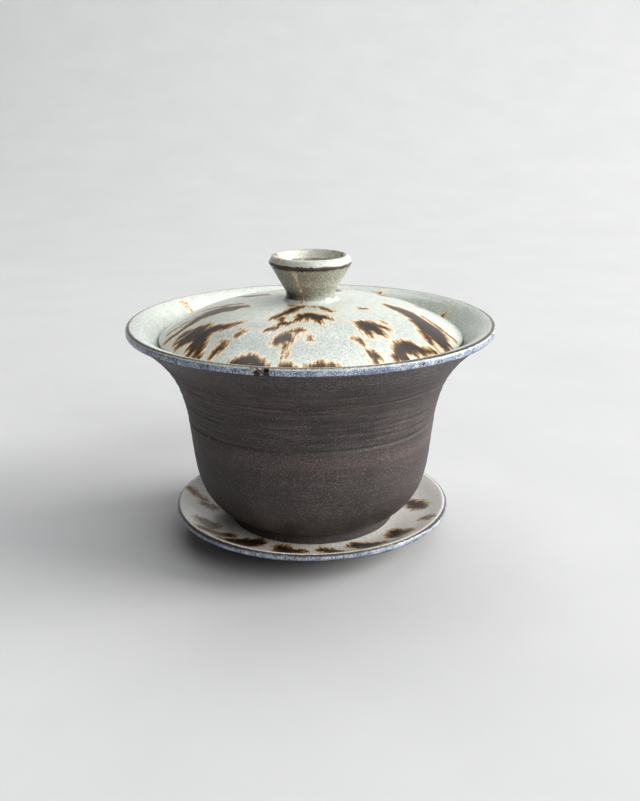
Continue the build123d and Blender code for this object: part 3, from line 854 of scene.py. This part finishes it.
# Where the glaze is thin, and the neck's foot, where shade is painted: (radius, height), with the knob's
# heights above its seat
KNOB_EDGE, KNOB_EDGE_WIDTH = (11.15, 10.45), 0.62
KNOB_CREST, KNOB_CREST_WIDTH = (9.4, 12.1), 0.4
NECK_FOOT_SHADE, NECK_FOOT_SHADE_WIDTH = (6.4, 2.2), 1.3
LID_REST, LID_REST_WIDTH = (41.2, LID_Z + 0.35), 0.45
LINING_EDGE, LINING_EDGE_WIDTH = (38.6, LID_Z), 0.6

top_skin = joined(lid_skin, knob_side)
top_face = coated(top_skin)
split = int(np.argmax(top_skin[:, 0] < KNOB_FOOT_R))
lid_coat = turned("lid_coat", shell(top_face[:split + 1], top_skin[:split + 1]))
knob_coat = turned("knob_coat", shell(top_face[split:], top_skin[split:]))
knob_drips = [[(math.radians(a) * DRIP_R, h, w) for a, h, w in points] for points in KNOB_DRIPS]
for piece in (lid_coat, knob_coat):
    radius, height, angle = places(piece)
    rise = height - KNOB_Z
    side = (radius > FLANK_R) & (rise < FLANK_TOP)
    flank = side & (rise > FLANK_LOW)
    strokes = iron_on_plan(radius, angle, LID_STROKES, longest=4.0, seed=3)
    iron = np.where(rise < NECK_LOW, strokes, NO_IRON)
    if piece is knob_coat:
        drips = 2.2 * stroke_depth(angle * DRIP_R, rise, knob_drips) - 0.25
        iron = np.maximum(iron, np.where(side, drips, NO_IRON))
        well = iron_on_plan(radius, angle, KNOB_WELL_STROKES, longest=0.8, seed=14, outward=-1)
        iron = np.maximum(iron, np.where((rise > WELL_LOW) & ~side, well, NO_IRON))
    mark(piece, "iron", iron)
    front = (0.5 - 0.5 * np.sin(angle)) ** 2
    mist = np.exp(-((radius - MIST_R) / MIST_WIDTH) ** 2) * front + 0.2 * wander(angle, (1, 2, 3), seed=15)
    mark(piece, "mist", mist + 0.7 * flank)
    # The knob's flank is darkened partly for its smoky glaze and partly as painted shade under its undercut
    mark(piece, "smoky_and_shade", 0.8 * flank + 0.2 * (rise >= FLANK_TOP))
    mark(piece, "pale", 0.7 * (rise > WELL_LOW) * (radius < WELL_R))
    sharp = near(radius, rise, KNOB_EDGE, KNOB_EDGE_WIDTH) * (1.0 - 0.25 * np.cos(angle))
    sharp = sharp * (1 + 0.3 * wander(angle, (3, 8, 13, 21), seed=24))
    crest = near(radius, rise, KNOB_CREST, KNOB_CREST_WIDTH) * (0.55 + 0.4 * np.sin(angle + 0.8))
    rest = near(radius, height, LID_REST, LID_REST_WIDTH)
    rest = rest * (0.55 + 0.4 * wander(angle, (2, 5, 9, 14), seed=17))
    # Partly the flank's darker glaze, partly painted shade, heavier on the left side away from the lamps
    smoke_and_shade = flank * (0.36 - 0.07 * np.cos(angle + 0.6))
    # Painted shade at the foot of the knob's neck, on the left side away from the lamps
    neck_foot_shade = near(radius, rise, NECK_FOOT_SHADE, NECK_FOOT_SHADE_WIDTH) * np.clip(0.25 - 0.45 * np.cos(angle + 0.5), 0, 1)
    mark(piece, "thin_glaze_and_shade", sharp + crest + rest + smoke_and_shade + neck_foot_shade)
finish_piece(lid_coat, glaze, "lid", "celadon_glaze", "lid_glaze")
finish_piece(knob_coat, glaze, "lid", "celadon_glaze", "knob_glaze")

lining = turned("lid_lining", shell(coated(lid_under, first_bead=False, last_bead=True), lid_under))
radius, height, angle = places(lining)
mark(lining, "iron", np.full(len(radius), NO_IRON))
mark(lining, "mist", 0.4 + 0.4 * wander(angle, (1, 2, 3), seed=19))
mark(lining, "thin_glaze_and_shade", near(radius, height, LINING_EDGE, LINING_EDGE_WIDTH))
finish_piece(lining, glaze, "lid", "celadon_glaze", "lid_liner_glaze")

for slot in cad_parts["lid_knob"].material_slots:
    slot.material = clay

# ---------------------------------------------------------------- floor, light and camera

# In metres: a floor that curves up into a wall
FLOOR_FRONT, FLOOR_BACK, WALL_TOP, SWEEP_R, HALF_WIDTH = -2.2, 1.5, 2.6, 1.0, 2.6
SWEEP_STEPS = 32
STUDIO_WHITE = (0.93, 0.94, 0.96, 1)
LIT_BY_WORLD, SEEN_WORLD = 0.05, 0.75
FADE_FROM, FADE_TO, FADE_TOP = 1.1, 2.2, (0.02, 0.30)   # metres from the object, and heights
PAPER_SHINE = 0.1

sweep = [(FLOOR_FRONT, 0.0), (FLOOR_BACK - SWEEP_R, 0.0)]
for step in range(1, SWEEP_STEPS + 1):
    turn = math.radians(90 * step / SWEEP_STEPS)
    sweep.append((FLOOR_BACK - SWEEP_R + SWEEP_R * math.sin(turn), SWEEP_R * (1 - math.cos(turn))))
sweep.append((FLOOR_BACK, WALL_TOP))
corners = [(side * HALF_WIDTH, y, z) for y, z in sweep for side in (-1, 1)]
strips = [(2 * i, 2 * i + 1, 2 * i + 3, 2 * i + 2) for i in range(len(sweep) - 1)]
backdrop_mesh = bpy.data.meshes.new("backdrop")
backdrop_mesh.from_pydata(corners, [], strips)
backdrop_mesh.polygons.foreach_set("use_smooth", [True] * len(strips))
backdrop = bpy.data.objects.new("backdrop", backdrop_mesh)
bpy.context.scene.collection.objects.link(backdrop)
paper = Shader("backdrop_paper", roughness=0.85)
fibre = paper.noise(paper.millimetres(), *PAPER_FIBRE)
here = paper.node("SeparateXYZ", {0: paper.node("TexCoord").outputs["Object"]}).outputs
flat = paper.node("CombineXYZ", {0: here[0], 1: here[1]}).outputs[0]
# Far from the object the floor and wall glow white instead of being lit: painted light that fades them into
# the pale background, so that it has no dark horizon
far = paper.step(paper.vector("LENGTH", flat, output=1), FADE_FROM, FADE_TO)
far = paper.math("MULTIPLY", far, paper.step(here[2], *FADE_TOP, 1.0, 0.0))
paper_colour = paper.mix(far, paper.ramp(fibre, PAPER_TONES), BLACK)
paper.put(paper.surface.inputs["Base Color"], paper_colour)
paper.put(paper.surface.inputs["Specular IOR Level"], PAPER_SHINE)
paper.put(paper.surface.inputs["Emission Color"], STUDIO_WHITE)
paper.put(paper.surface.inputs["Emission Strength"], paper.math("MULTIPLY", far, SEEN_WORLD))
backdrop_mesh.materials.append(paper.material)


def area_light(name, place, target, size, watts, tint, spread):
    """Rectangular lamp at a place in metres, turned to a target; spread is in degrees."""
    data = bpy.data.lights.new(name, "AREA")
    data.spread = math.radians(spread)
    data.shape, data.size, data.size_y = "RECTANGLE", size[0], size[1]
    data.energy, data.color = watts, tint
    lamp = bpy.data.objects.new(name, data)
    direction = Vector(target) - Vector(place)
    lamp.matrix_world = Matrix.Translation(place) @ direction.to_track_quat("-Z", "Y").to_matrix().to_4x4()
    bpy.context.scene.collection.objects.link(lamp)


area_light("window", (2.6, 0.05, 1.10), (0, 0, 0.03), (1.8, 1.5), 37.0, (1.0, 0.995, 0.985), 120)
area_light("softbox", (0.85, -1.10, 0.95), (0, -0.05, 0), (1.4, 1.2), 8.4, (0.98, 0.99, 1.0), 140)
area_light("overhead", (0.20, 0.60, 1.55), (0.1, 0.2, 0), (1.9, 1.4), 12.0, (0.98, 0.99, 1.0), 180)

world = bpy.data.worlds.new("studio")
world.use_nodes = True
sky = world.node_tree.nodes["Background"]
sky.inputs["Color"].default_value = STUDIO_WHITE
rays = world.node_tree.nodes.new("ShaderNodeLightPath")
seen = world.node_tree.nodes.new("ShaderNodeMapRange")
seen.inputs["To Min"].default_value = LIT_BY_WORLD
seen.inputs["To Max"].default_value = SEEN_WORLD
world.node_tree.links.new(rays.outputs["Is Camera Ray"], seen.inputs["Value"])
world.node_tree.links.new(seen.outputs[0], sky.inputs["Strength"])
bpy.context.scene.world = world
bpy.context.scene.view_settings.view_transform = "Standard"
bpy.context.scene.view_settings.look = "Medium High Contrast"

CAMERA_PLACE = (0.00242, -0.2638, 0.12337)
CAMERA_LENS = 44.36
CAMERA_DOWN = math.radians(17.79)
CAMERA_ROLL = -0.005

camera_data = bpy.data.cameras.new("camera")
camera_data.lens = CAMERA_LENS
camera_data.clip_start = 0.01
camera = bpy.data.objects.new("camera", camera_data)
turn_down = Matrix.Rotation(math.pi / 2 - CAMERA_DOWN, 4, "X")
camera.matrix_world = Matrix.Translation(CAMERA_PLACE) @ turn_down @ Matrix.Rotation(CAMERA_ROLL, 4, "Z")
bpy.context.scene.collection.objects.link(camera)
bpy.context.scene.camera = camera
